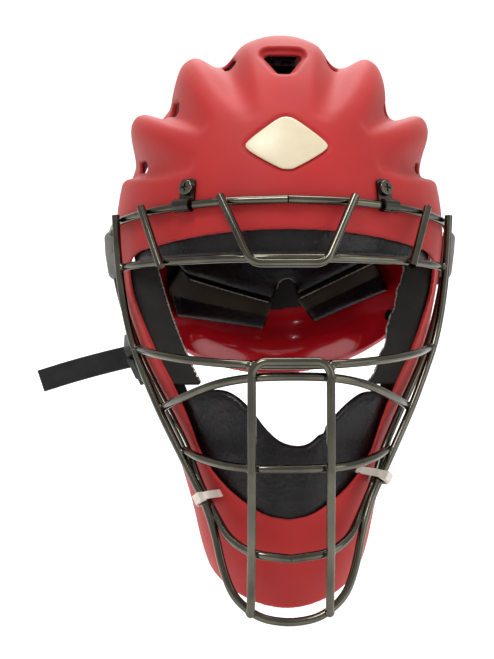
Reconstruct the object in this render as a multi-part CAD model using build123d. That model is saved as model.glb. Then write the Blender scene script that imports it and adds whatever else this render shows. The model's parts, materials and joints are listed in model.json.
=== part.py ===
from build123d import *
from math import cos, radians, sin, sqrt, tan
import os

# A hockey-style catcher's helmet: a hard front shell that reaches from the crown to the chin,
# a welded wire face cage, a back plate that swings open on the crown strap, and the foam inside.
# Millimetres. +X is the wearer's left, -Y the way the wearer looks, +Z up.
# The origin is the centre of the head, between the ears.

# ---- driving dimensions ----
HALF_WIDTH = 108.0        # shell, half its width over the temples
REACH = 118.0             # shell, from the head's centre to the forehead
DOME_Z = 60.0             # height of the widest level, where the dome starts
DOME_HEIGHT = 130.0       # from there to the crown
WALL = 3.5                # shell and back plate
WIRE = 2.4                # radius of the cage wire
PAD_GAP = 0.5             # between a wall and its foam
PLATE_INSET = 6.5         # the back plate's outer face, in from the shell's outer face
PLATE_WALL = 3.2
STRAP_RISE = 22.0         # degrees that the side straps climb on their way back
STRAP_WIDTH = 16.0
STRAP_THICK = 1.8
HINGE_Y, HINGE_Z = 40.0, 178.0   # where the back plate swings, at the crown's rear rim

# Levels of the shell below the dome: height, half width, centre in Y, front in Y.
JAW = (
    (DOME_Z, HALF_WIDTH, 0, -REACH),
    (20, 102, -3, -117.5),
    (-20, 91, -15, -117),
    (-60, 73, -33, -117),
    (-100, 58.5, -53, -118),
    (-135, 49, -63, -116),
    (-172, 34, -70, -100),
)
# Levels of the back plate below the dome, before its inset.
NAPE = (
    (DOME_Z, HALF_WIDTH, 0, -REACH),
    (20, 101.5, 0, -117),
    (-20, 92, 0, -112),
    (-60, 78, 0, -100),
)


# ---- the helmet's form, and places on it ----
def between(rows, z):
    """A row at a height, on a smooth curve through the rows above and below it."""
    i = 0
    while i < len(rows) - 2 and z < rows[i + 1][0]:
        i += 1
    upper, lower = rows[i], rows[i + 1]
    before, after = rows[max(i - 1, 0)], rows[min(i + 2, len(rows) - 1)]
    t = (upper[0] - z) / (upper[0] - lower[0])
    values = []
    for p0, p1, p2, p3 in zip(before[1:], upper[1:], lower[1:], after[1:]):
        bend = (p2 - p0) * t + (2 * p0 - 5 * p1 + 4 * p2 - p3) * t**2
        values.append(p1 + (bend + (3 * p1 - p0 - 3 * p2 + p3) * t**3) / 2)
    return values


def form(inset, levels=JAW):
    """The closed body whose skin is the helmet's outer face, moved in by inset."""
    dome = scale(Sphere(1), by=(HALF_WIDTH - inset, REACH - inset, DOME_HEIGHT - inset))
    dome = split(Pos(0, 0, DOME_Z) * dome, bisect_by=Plane((0, 0, DOME_Z)), keep=Keep.TOP)
    lowest, steps = levels[-1][0], 2 * (len(levels) - 1)
    sections = []
    for step in range(steps + 1):
        z = DOME_Z + (lowest - DOME_Z) * step / steps
        a, cy, front = between(levels, z)
        sections.append(Pos(0, cy, z) * Ellipse(a - inset, cy - front - inset))
    return dome + loft(sections)


def level(z, levels=JAW, inset=0.0):
    """Half width, centre and depth of the helmet's outline at a height."""
    if z >= DOME_Z:
        shrink = sqrt(max(1 - ((z - DOME_Z) / (DOME_HEIGHT - inset)) ** 2, 1e-6))
        return (HALF_WIDTH - inset) * shrink, 0.0, (REACH - inset) * shrink
    a, cy, front = between(levels, z)
    return a - inset, cy, cy - front - inset


def normal(x, y, z):
    """The way out of the outer face at a place on it."""
    a, cy, b = level(z)
    a2, cy2, b2 = level(z - 1)
    if z >= DOME_Z:
        rise = (z - DOME_Z) / (DOME_HEIGHT**2 - (z - DOME_Z) ** 2)
    else:
        inside = (x / a) ** 2 + ((y - cy) / b) ** 2
        below = (x / a2) ** 2 + ((y - cy2) / b2) ** 2
        rise = (inside - below) / 2
    return Vector(x / a**2, (y - cy) / b**2, rise).normalized()


def front(x, z, gap=0.0):
    """A place on the face side, gap out from the shell."""
    a, cy, b = level(z)
    y = cy - b * sqrt(1 - (x / a) ** 2)
    return Vector(x, y, z) + normal(x, y, z) * gap


def side(y, z, gap=0.0, sign=1):
    """A place on a flank, gap out from the shell. sign is 1 on +X."""
    a, cy, b = level(z)
    x = sign * a * sqrt(1 - ((y - cy) / b) ** 2)
    return Vector(x, y, z) + normal(x, y, z) * gap


def facing(place, outward, up=(0, 0, 1)):
    """A plane at a place whose Z points outward and whose Y points as nearly up as it can."""
    outward = Vector(*outward).normalized()
    across = Vector(*up).cross(outward).normalized()
    return Plane(origin=place, x_dir=across, z_dir=outward)


def mirrored(shape):
    return mirror(shape, about=Plane.YZ)


def flip(points):
    """A half path, met at the middle by its mirror image."""
    return [(-x, y, z) for x, y, z in reversed(points) if x > 0.01]


def bent(points, section, tightest=None):
    """A section swept along straight runs joined by tangent arcs as large as the runs allow."""
    corners = [Vector(*p) for p in points]
    radii = []
    for before, here, after in zip(corners, corners[1:], corners[2:]):
        turn = (here - before).get_angle(after - here)
        run = min((here - before).length, (after - here).length)
        radius = 0.45 * run / tan(radians(turn / 2))
        radii.append(min(radius, tightest) if tightest else radius)
    path = FilletPolyline(*[tuple(c) for c in corners], radius=radii)
    return sweep(facing(path @ 0, path % 0) * section, path=path)


def wire(points, tightest=None):
    return bent(points, Circle(WIRE), tightest)


def yz_prism(outline, low=-150, high=150):
    """A side-view outline of (y, z) points, drawn through X."""
    face = make_face(Polyline(*[(y, z) for y, z in outline], close=True))
    return Plane((low, 0, 0), x_dir=(0, 1, 0), z_dir=(1, 0, 0)) * extrude(face, high - low)


def slab(x, y, z):
    """A box from its low and high values along each axis."""
    return Pos((x[0] + x[1]) / 2, (y[0] + y[1]) / 2, (z[0] + z[1]) / 2) * Box(
        x[1] - x[0], y[1] - y[0], z[1] - z[0]
    )


# ---- scoops between the ridges, and their air vents ----
# Each scoop starts flush on the forehead and deepens as it runs back over the dome:
# its start, its deepest place, how deep it is there, and the radius of its trough.
SCOOPS = (
    ((23, 124), (38, -4), 9.0, 12.0),
    ((50, 123), (74, -2), 9.0, 12.0),
    ((56, 100), (95, -4), 8.0, 12.0),
)


def on_dome(x, y, gap):
    """A place on the dome above x and y, gap out from it."""
    z = DOME_Z + DOME_HEIGHT * sqrt(1 - (x / HALF_WIDTH) ** 2 - (y / REACH) ** 2)
    return Vector(x, y, z) + normal(x, y, z) * gap


def scoop(start, deepest, depth, radius, grow):
    """The cutter of one scoop, grown by grow to give the wall behind it."""
    first = front(start[0], start[1], radius)
    last = on_dome(deepest[0], deepest[1], radius - depth)
    halfway = (front(start[0], start[1]) + on_dome(deepest[0], deepest[1], 0)) * 0.5
    centre = Vector(0, 0, DOME_Z)
    out = (halfway - centre).normalized()
    # The middle of the trough, set so that the trough is half as deep there.
    reach = (first - centre).length + (last - centre).length
    middle = centre + out * (reach / 2)
    arc = ThreePointArc(first, middle, last)
    trough = sweep(Plane(origin=arc @ 0, z_dir=arc % 0) * Circle(radius + grow), path=arc)
    ends = [Pos(*(arc @ 0)) * Sphere(radius + grow), Pos(*(arc @ 1)) * Sphere(radius + grow)]
    return trough + ends


def scoops(grow):
    one_side = [scoop(*row, grow) for row in SCOOPS]
    return one_side + [mirrored(s) for s in one_side]


VENT_LENGTH, VENT_WIDTH = 20.0, 8.0


def vents():
    """Cutters of the air vents: one in the brow ridge and one on each scoop's floor."""
    place = front(0, 156)
    top, bottom = 10.5, 4.5
    outline = Polyline((-top, 6), (top, 6), (bottom, -7), (-bottom, -7), close=True)
    face = fillet(make_face(outline).vertices(), 2.0)
    cutters = [Plane((place.X, place.Y - 20, place.Z), x_dir=(1, 0, 0), z_dir=(0, 1, 0))
               * extrude(mirror(face, about=Plane.XZ), 40)]
    for start, deepest, _, _ in SCOOPS:
        here = on_dome(deepest[0], -24, 0)
        back = on_dome(deepest[0], -14, 0) - here
        out = normal(here.X, here.Y, here.Z)
        plane = Plane(origin=here - out * 30, x_dir=back, z_dir=out)
        hole = plane * extrude(SlotOverall(VENT_LENGTH, VENT_WIDTH), 40)
        cutters += [hole, mirrored(hole)]
    return cutters


# ---- hard parts ----
def face_opening():
    """The cutter of the opening that the face looks out of, drawn in the front view."""
    brow = ThreePointArc((-91, 47), (0, 57), (91, 47))
    cheek = ((91, 47), (95.5, 36), (88.5, 11), (67, -32), (50, -72), (26, -98), (0, -108))
    right = Spline(*cheek)
    left = Spline(*[(-x, z) for x, z in cheek])
    face = make_face([brow, right, left])
    return Plane((0, -200, 0), x_dir=(1, 0, 0), z_dir=(0, -1, 0)) * extrude(face, -165)


REAR_RIM = ((40, 196), (36, 120), (30, 60), (24, 20), (10, -12), (-12, -45), (-38, -88),
            (-56, -130), (-66, -176))
CHIN_RISE, CHIN_LOW = -145, -162      # height of the chin's lower edge at its corners and middle


def ear_holes():
    """Cutters of the hearing holes: a row of three slots over each ear."""
    holes = []
    for row in range(3):
        here = side(-6 + 3 * row, 27 - 9 * row)
        slot = facing(here - normal(*here) * 10, normal(*here)) * extrude(SlotOverall(18, 4.5), 20)
        holes += [slot, mirrored(slot)]
    return holes


def front_shell():
    rear = yz_prism([*REAR_RIM, (200, -176), (200, 196)])
    below = make_face([
        ThreePointArc((-45, CHIN_RISE), (0, CHIN_LOW), (45, CHIN_RISE)),
        Polyline((45, CHIN_RISE), (80, CHIN_RISE - 5), (80, -190), (-80, -190),
                 (-80, CHIN_RISE - 5), (-45, CHIN_RISE)),
    ])
    under = Plane((0, -200, 0), x_dir=(1, 0, 0), z_dir=(0, -1, 0)) * extrude(below, -200)
    outer = form(0) - scoops(0)
    inner = form(WALL) - scoops(WALL)
    body = outer - inner - rear - under - face_opening()
    return body - vents() - ear_holes() - clip_holes() - tie_holes()


def back_plate():
    """The rear shell, nested inside the front shell's rim."""
    keep = yz_prism([(29, 200), (27, 120), (21, 60), (17, 24), (20, 8), (60, -12), (106, -37),
                     (160, -60), (160, 200)])
    plate = form(PLATE_INSET, NAPE) - form(PLATE_INSET + PLATE_WALL, NAPE)
    return plate & keep


def badge_plate():
    """A blank badge on the forehead, a rounded diamond that follows the shell."""
    corners = ((-25, 106), (-3, 124), (3, 124), (25, 106), (3, 90.5), (-3, 90.5))
    face = fillet(make_face(Polyline(*corners, close=True)).vertices(), 5.5)
    prism = Plane((0, -150, 0), x_dir=(1, 0, 0), z_dir=(0, -1, 0)) * extrude(face, -80)
    return (form(-1.4) - form(0)) & prism


# ---- the cage ----
RING_HALF = [
    front(0, 73, 4.8), front(34, 72.6, 4.8), front(62, 71, 4.8), front(83, 69, 4.8),
    side(-50, 67, 4.6), side(-27, 64, 3.6), side(-21, 48, 3.3), side(-27, 28, 3.4),
    side(-41, 6, 3.6), side(-57, -20, 3.6), side(-73, -46, 3.6), side(-87, -70, 4.6),
    Vector(51, -98, -90), Vector(42, -109, -106), Vector(34, -126, -117),
    Vector(21.5, -137.6, -123.5), Vector(0, -139.4, -126),
]


def cage_ring():
    """The closed wire that lies on the shell: brow, temples, cheeks and under the mouth."""
    path = [tuple(p) for p in RING_HALF]
    half = wire(path)
    whole = half + mirrored(half)
    return whole


RAIL_HALF = [
    (0, -129, -164), (18, -128, -161), (31.5, -125, -150), (37.5, -121, -135), (42, -115.5, -115),
    (47.5, -108.5, -99), (60, -98, -76), (77, -84.5, -44), (92.5, -71.5, -7), (98.5, -65, 20),
    (101.5, -61.5, 45), (103, -59.5, 70.5),
]


def cage_outer_rail():
    """The wire that frames the cage in front: down both sides and round the chin."""
    return wire(flip(RAIL_HALF) + RAIL_HALF)


EYE_HALF = [(0, -128.4, 40), (20, -127.6, 40), (38, -122, 40), (70, -104.4, 39.5),
            (90, -79, 38.8), (97.5, -62.5, 38.4)]
NOSE_HALF = [(0, -146.9, -19.6), (22, -146.3, -19.2), (40, -139, -18.2), (58, -126, -16.6),
             (77, -101, -14), (88, -74.5, -11.5)]
ARCH_HALF = [(0, -146.9, -25.4), (22, -146.3, -26), (40, -136.5, -29.5), (54, -121, -35.5),
             (65.5, -102, -41.5), (72.5, -85.5, -46)]
MOUTH_HALF = [(0, -145.9, -76), (22, -145, -75.8), (38, -132.5, -74.8), (50, -116.5, -73),
              (59.8, -96, -70.5)]


def cross_bar(half):
    return wire(flip(half) + half)


def cage_brow_loop():
    leg = [(38.5, -118.5, 76), (21, -131.4, 37)]
    return wire([(-x, y, z) for x, y, z in leg] + leg[::-1], tightest=9)


def cage_chin_loop():
    leg = [(22, -131.5, -156.5), (21.6, -143.7, -122), (21.4, -150.4, -78), (21.4, -150.9, -17.4)]
    return wire([(-x, y, z) for x, y, z in leg] + leg[::-1], tightest=8)


def cage_side_struts():
    strut = wire([(85.6, -85.2, 72.8), (79.2, -96, 54.6), (72.7, -106.9, 36.4)])
    return Compound([strut, mirrored(strut)])


# ---- fasteners ----
def fastener(plane, head_radius, head_height, shank_radius, depth, tail_radius=0.0, tail=0.0):
    """A round head standing on a plane, its shank below, and a flare or washer at its end."""
    body = plane * extrude(Circle(head_radius), head_height)
    body += plane * extrude(Circle(shank_radius), -depth)
    if tail:
        body += plane.offset(-depth) * extrude(Circle(tail_radius), tail)
    return body


def drill(plane, radius, depth):
    """The cutter of a round hole through whatever a fastener passes."""
    return plane * Pos(0, 0, -depth) * extrude(Circle(radius), 2 * depth)


def cross_recess(plane, height):
    """The cutter of a cross-head driver's recess in a screw's head."""
    arms = Rectangle(5.0, 1.1) + Rectangle(1.1, 5.0)
    return plane.offset(height) * extrude(arms, -1.4)


def both(shape):
    return Compound([shape, mirrored(shape)])


# ---- brow clips: a steel saddle over the cage's brow wire, screwed to the shell ----
CLIP_X, CLIP_Z = 56.5, 82.0
CLIP_STEEL = 1.5
SCREW_RADIUS, SCREW_HEAD, SCREW_HEAD_HEIGHT = 2.0, 4.6, 2.6


def clip_plane():
    place = front(CLIP_X, CLIP_Z)
    return facing(place, normal(*place))


def brow_clip():
    plane = clip_plane()
    bar = plane.to_local_coords(front(CLIP_X, 71.4, 4.8))
    tab = Pos(0, (bar.Y + 5.5) / 2, 0.4 + CLIP_STEEL / 2) * Box(10.3, 5.5 - bar.Y, CLIP_STEEL)
    saddle = Pos(0, bar.Y, bar.Z) * Rot(Y=90) * Cylinder(WIRE + CLIP_STEEL, 11)
    hollow = Pos(0, bar.Y, bar.Z) * Rot(Y=90) * Cylinder(WIRE, 20)
    rounded = fillet(tab.edges().filter_by(Axis.Z).group_by(Axis.Y)[-1], 2.5)
    clip = plane * (rounded + saddle - hollow)
    return clip - drill(plane, SCREW_RADIUS + 0.2, 6) - cage_ring()


def brow_screw():
    plane = clip_plane().offset(0.4 + CLIP_STEEL)
    head = extrude(Circle(SCREW_HEAD), SCREW_HEAD_HEIGHT)
    head = fillet(head.edges().group_by(Axis.Z)[-1], 1.0)
    screw = plane * (head + extrude(Circle(SCREW_RADIUS), -11))
    return screw - cross_recess(plane, SCREW_HEAD_HEIGHT)


def brow_nut():
    plane = clip_plane().offset(-WALL - 0.4)
    return plane * extrude(RegularPolygon(4.0, 6) - Circle(SCREW_RADIUS + 0.1), -3.2)


# ---- side clips: a plastic plate on each temple, hooked over the cage wire ----
def side_clip_plane():
    place = side(-6, 47)
    return facing(place, normal(*place))


def side_clip():
    plate = yz_prism([(-26, 62), (-2, 60), (2, 50), (0, 36), (-10, 30), (-20, 29), (-16, 44)], 60)
    body = (form(-3.2) - form(-0.3)) & plate
    wire_run = [side(-26.5, 63, 3.6), side(-21.6, 50, 3.35), side(-25.5, 33, 3.4)]
    upper = wire_run[0] + (wire_run[1] - wire_run[0]) * 0.2
    hooks = [Pos(*wire_run[1]) * Sphere(WIRE + 2.6)]
    for far, reach in ((upper, 0.85), (wire_run[2], 0.72)):
        end = wire_run[1] + (far - wire_run[1]) * reach
        run = end - wire_run[1]
        grip = Plane(origin=wire_run[1], z_dir=run) * extrude(Circle(WIRE + 2.6), run.length)
        hooks.append(grip)
        hooks.append(Pos(*end) * Sphere(WIRE + 2.6))
    saddle = (hooks[0] + hooks[1:]) - form(-0.3)
    return body + saddle - drill(side_clip_plane(), 2.2, 9) - cage_ring()


def side_screw():
    plane = side_clip_plane().offset(3.4)
    return fastener(plane, 4.0, 2.0, 2.0, 8.6, 4.0, 1.4) - cross_recess(plane, 2.0)


def clip_holes():
    brow, temple = drill(clip_plane(), 2.2, 9), drill(side_clip_plane(), 2.2, 9)
    anchor = drill(anchor_plane(), 2.2, 9)
    crown = [drill(top_plane(x, 18, 0), 2.2, 9) for x in (-6, 6)]
    return [brow, mirrored(brow), temple, mirrored(temple), anchor, mirrored(anchor)] + crown


# ---- cable ties: one on each side of the chin, round the cage wires and through the shell ----
TIE_BAND, TIE_WIDTH = 1.2, 4.4
TIE_Z = {"right": -97.0, "left": -86.0}


def rail_at(z):
    """The outer rail's centre at a height below the cheeks."""
    for (x1, y1, z1), (x0, y0, z0) in zip(RAIL_HALF[::-1], RAIL_HALF[::-1][1:]):
        if z1 >= z >= z0:
            t = (z1 - z) / (z1 - z0)
            return Vector(x1 + t * (x0 - x1), y1 + t * (y0 - y1), z)


def tie_plane(z):
    """X runs from the rail to the shell, Z along the rail."""
    here = rail_at(z)
    along = (rail_at(z + 6) - rail_at(z - 6)).normalized()
    inward = Vector(-here.X, -here.Y - 50, 0).normalized()
    inward = (inward - along * inward.dot(along)).normalized()
    return Plane(origin=here, x_dir=inward, z_dir=along)


def tie_reach(z):
    """How far in from the rail the tie's inner end lies, just inside the shell."""
    plane = tie_plane(z)
    reach = 0.0
    while True:
        p = plane.from_local_coords(Vector(reach, 0, 0))
        a, cy, b = level(p.Z, inset=WALL)
        if (p.X / a) ** 2 + ((p.Y - cy) / b) ** 2 < 1:
            return reach + 2.5
        reach += 0.25


def tie_loop(z, inner, thick, width):
    reach = tie_reach(z)
    outside = Pos(reach / 2, 0) * SlotCenterToCenter(reach, 2 * (inner + thick))
    if inner:
        outside -= Pos(reach / 2, 0) * SlotCenterToCenter(reach, 2 * inner)
    return tie_plane(z) * extrude(outside, width / 2, both=True)


def chin_tie(z):
    lock = tie_plane(z) * Pos(-5.0, 1.5, 0) * Box(4.6, 5.0, 5.4)
    band = tie_loop(z, 4.2, TIE_BAND, TIE_WIDTH) + lock - tie_loop(z, 0.0, 4.2, 8)
    return band - cage_ring() - cage_outer_rail()


def tie_holes():
    left = tie_loop(TIE_Z["left"], 0.0, 5.9, TIE_WIDTH + 1)
    right = mirrored(tie_loop(TIE_Z["right"], 0.0, 5.9, TIE_WIDTH + 1))
    return [left, right]


# ---- side straps, buckles and their anchors ----
def strap_plane():
    """On the flank: X out of the shell, Y back along the strap, Z across its width."""
    place = side(-4, -17)
    out = normal(*place)
    rise = radians(STRAP_RISE)
    across = Vector(0, -sin(rise), cos(rise))
    across = (across - out * across.dot(out)).normalized()
    return Plane(origin=place, x_dir=out, z_dir=across)


def stand_off(back, levels, inset):
    """How far out of the strap's plane a skin lies, at a distance back along the strap."""
    plane = strap_plane()
    low, high = -70.0, 20.0
    for _ in range(30):
        mid = (low + high) / 2
        p = plane.from_local_coords(Vector(mid, back, 0))
        a, cy, b = level(p.Z, levels, inset)
        if (p.X / a) ** 2 + ((p.Y - cy) / b) ** 2 < 1:
            low = mid
        else:
            high = mid
    return low


def anchor_path():
    """Points (out, back) of the anchor's centre line, from the flank to the buckle's front bar."""
    lift = STRAP_THICK / 2 + 0.3
    return [(stand_off(v, JAW, 0) + lift, v) for v in (-40, -28)] + [(1.5, -14)]


def anchor_plane():
    """On the anchor's outer face, where its rivet goes through."""
    plane = strap_plane()
    skin = plane.from_local_coords(Vector(stand_off(-31, JAW, 0), -31, 0))
    out = normal(*skin)
    return Plane(origin=skin + out * (STRAP_THICK + 0.45), x_dir=plane.z_dir, z_dir=out)


def strap_anchor():
    strip = ribbon(anchor_path()) - Pos(4.1, -13.4, 0) * Cylinder(2.5, 30)
    loop = Pos(4.1, -13.4, 0) * (Cylinder(3.6, STRAP_WIDTH) - Cylinder(1.8, 30))
    return strap_plane() * (strip + loop) - form(-0.2) - drill(anchor_plane(), 2.2, 9)


def anchor_rivet():
    return fastener(anchor_plane(), 4.0, 1.4, 2.0, 7.2, 3.6, 1.2)


def buckle():
    frame = fillet((Pos(4.4, -1.5, 0) * Box(4, 27.5, 29)).edges().filter_by(Axis.X), 3.0)
    frame -= Pos(4.4, -8.3, 0) * Box(8, 8.6, 19)
    frame -= Pos(4.4, 4.5, 0) * Box(8, 9.0, 19)
    front_bar = Pos(4.1, -13.4, 0) * Cylinder(1.8, 22)
    under = slab((-5, 2.85), (-14, 9), (-9.5, 9.5))
    return strap_plane() * (frame - slab((2, 7), (-16, -12), (-8.5, 8.5)) + front_bar - under)


def strap_path():
    """Points (out, back) of the side strap's centre line, from the buckle to the back plate."""
    lift = STRAP_THICK / 2
    over_plate = [(stand_off(v, NAPE, PLATE_INSET) + lift + 1.0, v) for v in (40, 52, 64)]
    rim = stand_off(20, JAW, 0) + lift + 1.4
    return [(0.55 + lift, 0.6), (0.5 + lift, 10), (rim, 20)] + over_plate


def ribbon(points, width=STRAP_WIDTH):
    return bent([(u, v, 0) for u, v in points], Rectangle(STRAP_THICK, width))


def rivet_plane():
    """On the side strap's outer face, over the back plate."""
    plane = strap_plane()
    (u1, v1), (u2, v2) = strap_path()[-2:]
    mid = plane.from_local_coords(Vector((u1 + u2) / 2, (v1 + v2) / 2, 0))
    along = plane.x_dir * (u2 - u1) + plane.y_dir * (v2 - v1)
    out = along.cross(plane.z_dir).normalized()
    return Plane(origin=mid + out * (STRAP_THICK / 2 + 0.1), x_dir=plane.z_dir, z_dir=out)


def side_strap():
    return strap_plane() * ribbon(strap_path()) - drill(rivet_plane(), 2.2, 5)


def side_strap_rivet():
    return fastener(rivet_plane(), 4.2, 1.4, 2.0, 7.4, 3.8, 1.0)


TAIL_ROOT = (3.9, 4.5)    # where a strap's free end leaves its buckle, out and back
TAIL_LENGTH = 65.0


def free_tail():
    """The free end that stands out from its buckle, with a slight curve."""
    run = TAIL_LENGTH / 4
    points = [TAIL_ROOT, (TAIL_ROOT[0] + run, 4.9), (TAIL_ROOT[0] + 2 * run, 4.4),
              (TAIL_ROOT[0] + 3 * run, 2.8), (TAIL_ROOT[0] + 4 * run, 0.0)]
    tail = Rot(Y=-8) * Pos(-TAIL_ROOT[0], -TAIL_ROOT[1], 0) * ribbon(points)
    return strap_plane() * Pos(*TAIL_ROOT, 0) * (tail + Cylinder(1.0, 13.5))


def folded_tail():
    """The free end that lies back along the strap that it belongs to."""
    lying = [(u + STRAP_THICK + 3.6, v) for u, v in strap_path()[3:]]
    rim = strap_path()[2]
    points = [TAIL_ROOT, (8.2, 5.0), (8.0, 13.5), (rim[0] + 5.2, 24), lying[0], lying[1]]
    return strap_plane() * (ribbon(points) + Pos(*TAIL_ROOT, 0) * Cylinder(1.0, STRAP_WIDTH))


# ---- crown strap ----
def top_plane(x, y, inset):
    place = on_dome(x, y, -inset)
    out = normal(*on_dome(x, y, 0))
    return Plane(origin=place, x_dir=(1, 0, 0), z_dir=out)


def top_strap():
    band = (form(WALL + 0.5) - form(WALL + 0.5 + STRAP_THICK)) & slab((-12.5, 12.5), (8, 72), (120, 195))
    shell_side = [drill(top_plane(x, 18, 0), 2.2, 12) for x in (-6, 6)]
    return band - shell_side - [drill(top_plane(x, 62, 0), 2.2, 12) for x in (-6, 6)]


def top_shell_rivets():
    return Compound([fastener(top_plane(x, 18, -0.1), 4.2, 1.4, 2.0, 7.6, 3.8, 1.1) for x in (-6, 6)])


def top_plate_rivets():
    return Compound([fastener(top_plane(x, 62, 3.9), 4.2, 1.4, 2.0, 7.4, 3.8, 1.1) for x in (-6, 6)])


def back_plate_with_holes():
    side_hole = drill(rivet_plane(), 2.2, 9)
    crown = [drill(top_plane(x, 62, 4), 2.2, 12) for x in (-6, 6)]
    return back_plate() - [side_hole, mirrored(side_hole)] - crown


# ---- foam ----
def foam(outer, thick, levels=JAW):
    return form(outer, levels) - form(outer + thick, levels)


def brow_pad():
    """The long pad behind the brow edge, which wraps round to both temples."""
    region = slab((-98, 98), (-130, -48), (42, 92))
    nut = drill(clip_plane(), 6.0, 10)
    return (foam(WALL + PAD_GAP, 13) & region) - nut - mirrored(nut)


def crown_pad():
    return foam(15.5, 12) & slab((-36, 36), (-62, 14), (110, 200))


def temple_pad():
    return foam(14.5, 11) & yz_prism([(-46, 70), (12, 70), (12, 116), (-40, 116)], 30)


def cheek_pad():
    outline = [(-38, 43), (-50, 12), (-69, -30), (-72, -34), (-22, -34), (-18, 0), (-20, 43)]
    return (foam(WALL + PAD_GAP, 16) & yz_prism(outline, 30)) - drill(anchor_plane(), 5.0, 12)


def chin_cup_pad():
    """A thick wall round the chin, low in the middle and with a high lobe on each side."""
    rim = [(0, -67), (12, -62), (24, -50), (36, -40), (48, -36), (66, -39)]
    top = Spline(*[(-x, z) for x, z in rim[:0:-1]], *rim)
    sides = Polyline((66, -39), (66, -124), (-66, -124), (-66, -39))
    prism = Plane((0, -48, 0), x_dir=(1, 0, 0), z_dir=(0, -1, 0)) * extrude(make_face([top, sides]), 80)
    ties = [tie_loop(TIE_Z["left"], 0.0, 6.4, 7), mirrored(tie_loop(TIE_Z["right"], 0.0, 6.4, 7))]
    return (foam(WALL + PAD_GAP, 17) & prism) - ties


# Outlines (x, z) seen from the front. The two rear pads are stuck on at different tilts.
REAR_PAD = {
    "left": [(17, 23.5), (30, 5), (79, 27), (72, 50)],
    "right": [(-1, 21), (-63, 38), (-69, 45), (-77, 30), (-71, 9), (-8, 0)],
}
REAR_UPPER_PAD = [
    (-74, 51), (-66, 41), (-3, 24), (2, 28), (4, 34), (8, 37), (12, 37), (16, 34), (18, 27),
    (72, 53), (75, 66), (71, 90), (60, 112), (46, 128),
    (-46, 128), (-60, 112), (-71, 90), (-75, 66),
]


def rear_foam(outline, corner, start):
    """A pad on the back plate with rounded corners, behind the given y."""
    face = make_face(Polyline(*outline, close=True))
    face = fillet(face.vertices(), corner)
    prism = Plane((0, start, 0), x_dir=(1, 0, 0), z_dir=(0, -1, 0)) * extrude(face, -120)
    return foam(PLATE_INSET + PLATE_WALL + PAD_GAP, 12, NAPE) & prism


def rear_pad(name):
    return rear_foam(REAR_PAD[name], 3.0, 20)


def rear_upper_pad():
    """The wide pad over the two rear pads, with a small arch in its lower edge."""
    return rear_foam(REAR_UPPER_PAD, 1.5, 45)


# ---- write every piece ----
def build():
    pieces = {
        "front_shell": front_shell(),
        "badge": badge_plate(),
        "cage_ring": cage_ring(),
        "cage_outer_rail": cage_outer_rail(),
        "cage_brow_loop": cage_brow_loop(),
        "cage_side_struts": cage_side_struts(),
        "cage_eye_bar": cross_bar(EYE_HALF),
        "cage_nose_bar": cross_bar(NOSE_HALF),
        "cage_arch_bar": cross_bar(ARCH_HALF),
        "cage_mouth_bar": cross_bar(MOUTH_HALF),
        "cage_chin_loop": cage_chin_loop(),
        "brow_clip_screws": both(brow_screw()),
        "brow_clip_nuts": both(brow_nut()),
        "side_clip_screws": both(side_screw()),
        "chin_tie_left": chin_tie(TIE_Z["left"]),
        "chin_tie_right": mirrored(chin_tie(TIE_Z["right"])),
        "strap_anchor_rivets": both(anchor_rivet()),
        "side_strap_rivets": both(side_strap_rivet()),
        "strap_tail_left": folded_tail(),
        "strap_tail_right": mirrored(free_tail()),
        "top_strap": top_strap(),
        "top_strap_shell_rivets": top_shell_rivets(),
        "top_strap_plate_rivets": top_plate_rivets(),
        "back_plate": back_plate_with_holes(),
        "brow_pad": brow_pad(),
        "crown_pad": crown_pad(),
        "chin_cup_pad": chin_cup_pad(),
        "rear_pad_left": rear_pad("left"),
        "rear_pad_right": rear_pad("right"),
        "rear_upper_pad": rear_upper_pad(),
    }
    paired = {
        "brow_clip": brow_clip,
        "side_clip": side_clip,
        "strap_anchor": strap_anchor,
        "buckle": buckle,
        "side_strap": side_strap,
        "temple_pad": temple_pad,
        "cheek_pad": cheek_pad,
    }
    for name, make in paired.items():
        left = make()
        pieces[name + "_left"] = left
        pieces[name + "_right"] = mirrored(left)
    return pieces


os.makedirs("parts", exist_ok=True)
for name, piece in build().items():
    export_step(piece, f"parts/{name}.step")
    print(name, len(piece.solids()), round(piece.volume))
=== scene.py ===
import json
import bmesh
import bpy
import numpy as np
from math import cos, pi, radians, sin, sqrt
from mathutils import Matrix, Vector


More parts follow.
